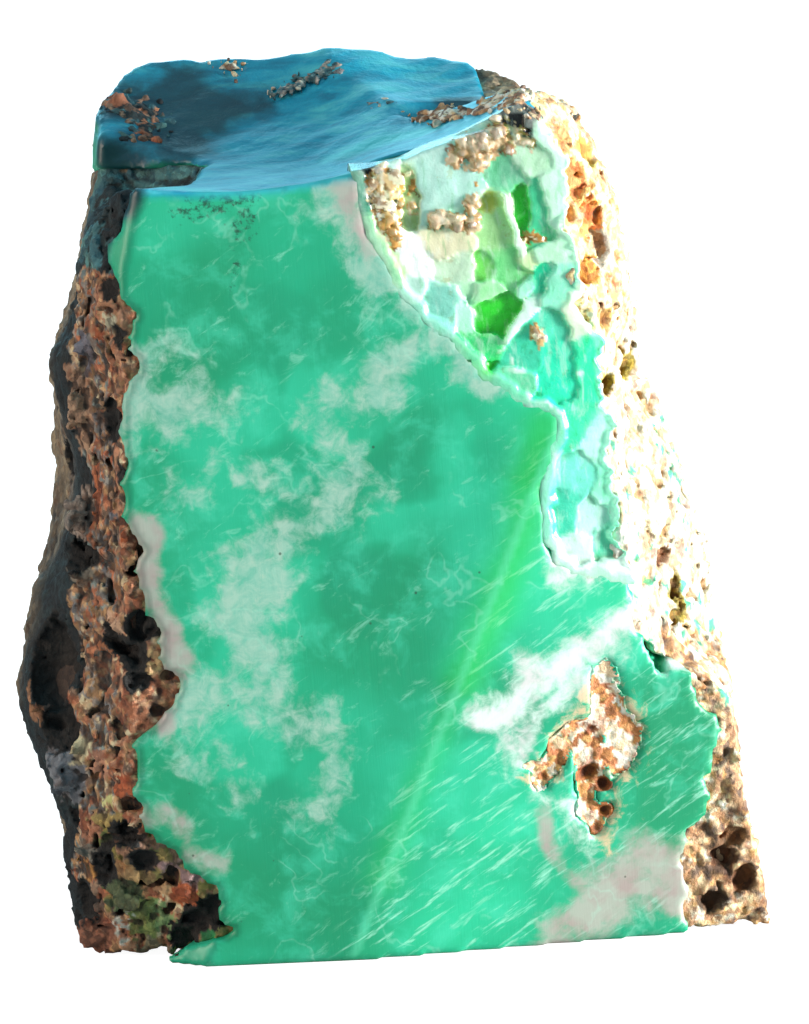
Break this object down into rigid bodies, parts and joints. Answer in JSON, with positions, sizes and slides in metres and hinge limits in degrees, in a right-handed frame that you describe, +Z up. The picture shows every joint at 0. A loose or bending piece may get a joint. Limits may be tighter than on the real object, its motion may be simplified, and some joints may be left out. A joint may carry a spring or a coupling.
{
  "type": "chrysoprase specimen",
  "caption": "Rough green chrysoprase chunk that stands on a flat base, with a sawn front, a hollow broken top and rusty, pale crusts down its sides.",
  "frame": {"origin": "centre of the bounding box on the surface that the stone stands on", "axes": "+Z up from the sawn base along the longest side, -Y out of the sawn front face, +X to the pale crust"},
  "size_m": [0.0506, 0.035, 0.0578],
  "materials": {
    "chrysoprase": "satin sawn and broken chalcedony, green with cream clouds, with rough cream and rusty crust"
  },
  "bodies": {
    "root": {"chrysoprase_stone": "chrysoprase"}
  },
  "joints": []
}
